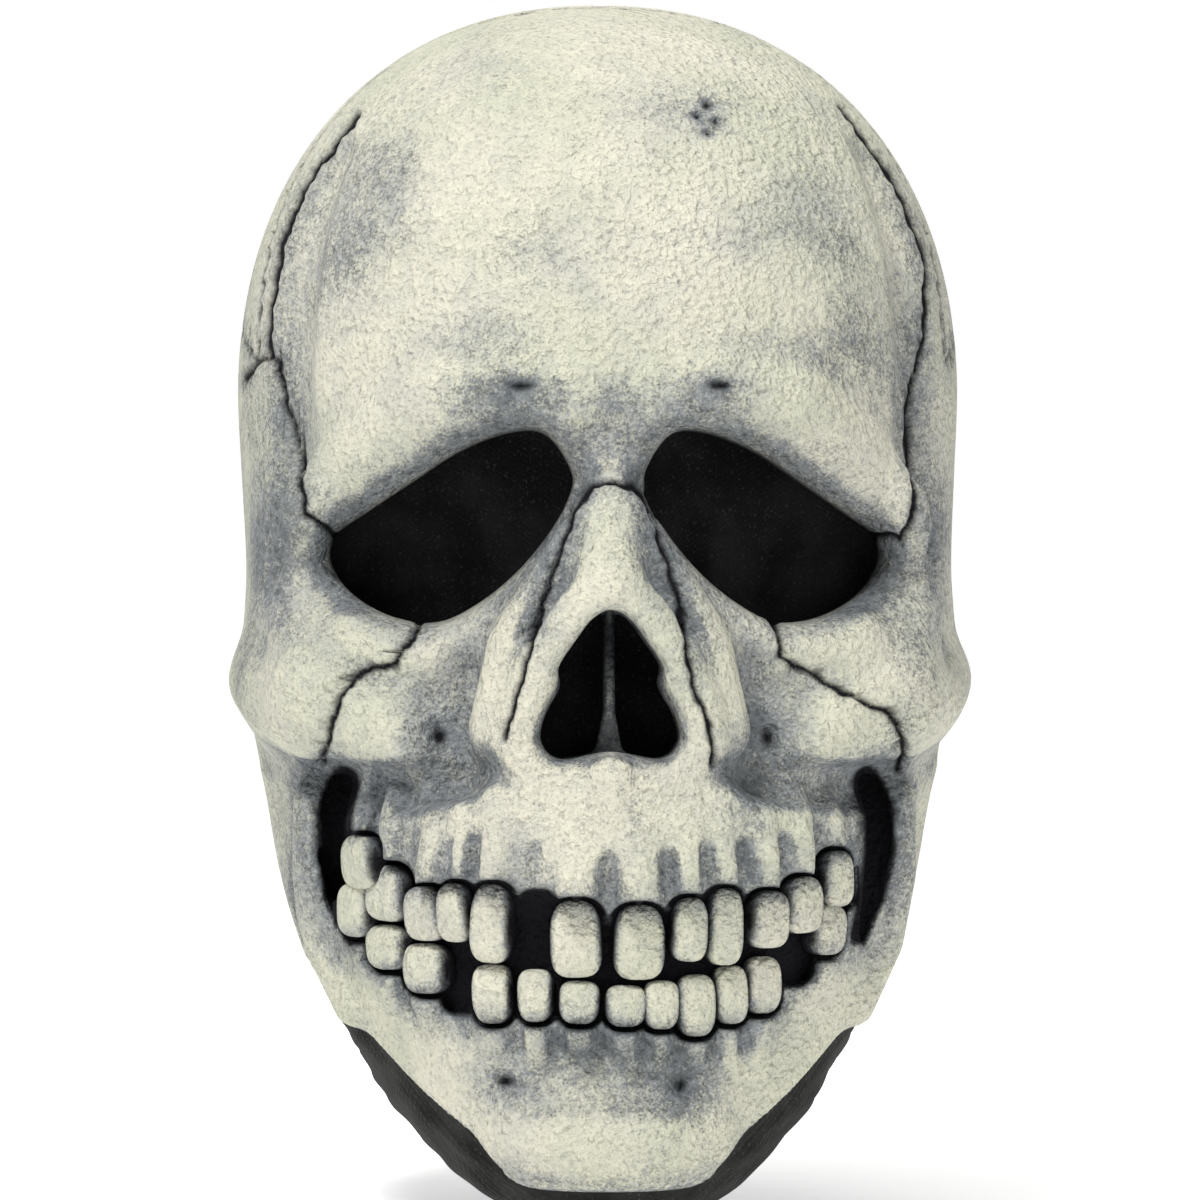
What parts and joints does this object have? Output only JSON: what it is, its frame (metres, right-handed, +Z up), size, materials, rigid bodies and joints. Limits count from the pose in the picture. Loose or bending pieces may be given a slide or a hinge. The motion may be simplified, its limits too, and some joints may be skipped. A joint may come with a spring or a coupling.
{
  "type": "latex skull mask",
  "caption": "Full-head latex skull mask with gauze eye and nose screens, foam pads and a black collar that opens at the back.",
  "frame": {"origin": "middle of the neck opening's footprint, level with the lowest hem", "axes": "+Z up, face looks along -Y, wearer's left is +X"},
  "size_m": [0.1744, 0.2315, 0.2851],
  "materials": {
    "latex": "matt, stippled, sponged dark in the recesses",
    "gauze": "open black gauze",
    "foam": "open-cell foam",
    "collar_cloth": "matt bonded cloth",
    "tape": "twill tape",
    "webbing": "woven webbing",
    "loop": "loop pile",
    "hook": "moulded hooks",
    "thread": "thread",
    "label": "satin"
  },
  "bodies": {
    "mask": {"skull_casting": "latex", "eye_screen_left": "gauze", "eye_screen_right": "gauze", "nose_screen": "gauze", "crown_pad": "foam", "forehead_pad": "foam", "occiput_pad": "foam", "temple_pad_left": "foam", "temple_pad_right": "foam", "collar_front": "collar_cloth", "front_hem_tape": "tape", "collar_joint_tape": "tape", "nape_edge_tape": "tape", "blank_care_label": "label"},
    "flap_left": {"collar_flap_left": "collar_cloth", "flap_hem_tape_left": "tape", "loop_patch": "loop"},
    "flap_right": {"collar_flap_right": "collar_cloth", "flap_hem_tape_right": "tape", "tab_anchor": "webbing", "tab_root": "webbing", "tab_stitches": "thread"},
    "closure_tab": {"tab_pull_end": "webbing", "hook_patch": "hook"}
  },
  "joints": [
    {"name": "flap_left_hinge", "type": "hinge", "parent": "mask", "child": "flap_left", "pos_m": [0.0597, 0.0143, 0.047], "axis": [-0.455, 0, -0.8905], "range_deg": [0, 35], "stiffness_Nm_per_rad": 0.05},
    {"name": "flap_right_hinge", "type": "hinge", "parent": "mask", "child": "flap_right", "pos_m": [-0.0597, 0.0143, 0.047], "axis": [-0.455, 0, 0.8905], "range_deg": [0, 35], "stiffness_Nm_per_rad": 0.05},
    {"name": "tab_peel", "type": "hinge", "parent": "flap_right", "child": "closure_tab", "pos_m": [-0.007, 0.0848, 0.062], "axis": [0, 0.1302, 0.9915], "range_deg": [0, 120], "stiffness_Nm_per_rad": 0.003}
  ],
  "couplings": [
    {"joint": "flap_right_hinge", "follows": "flap_left_hinge", "ratio": 1}
  ]
}
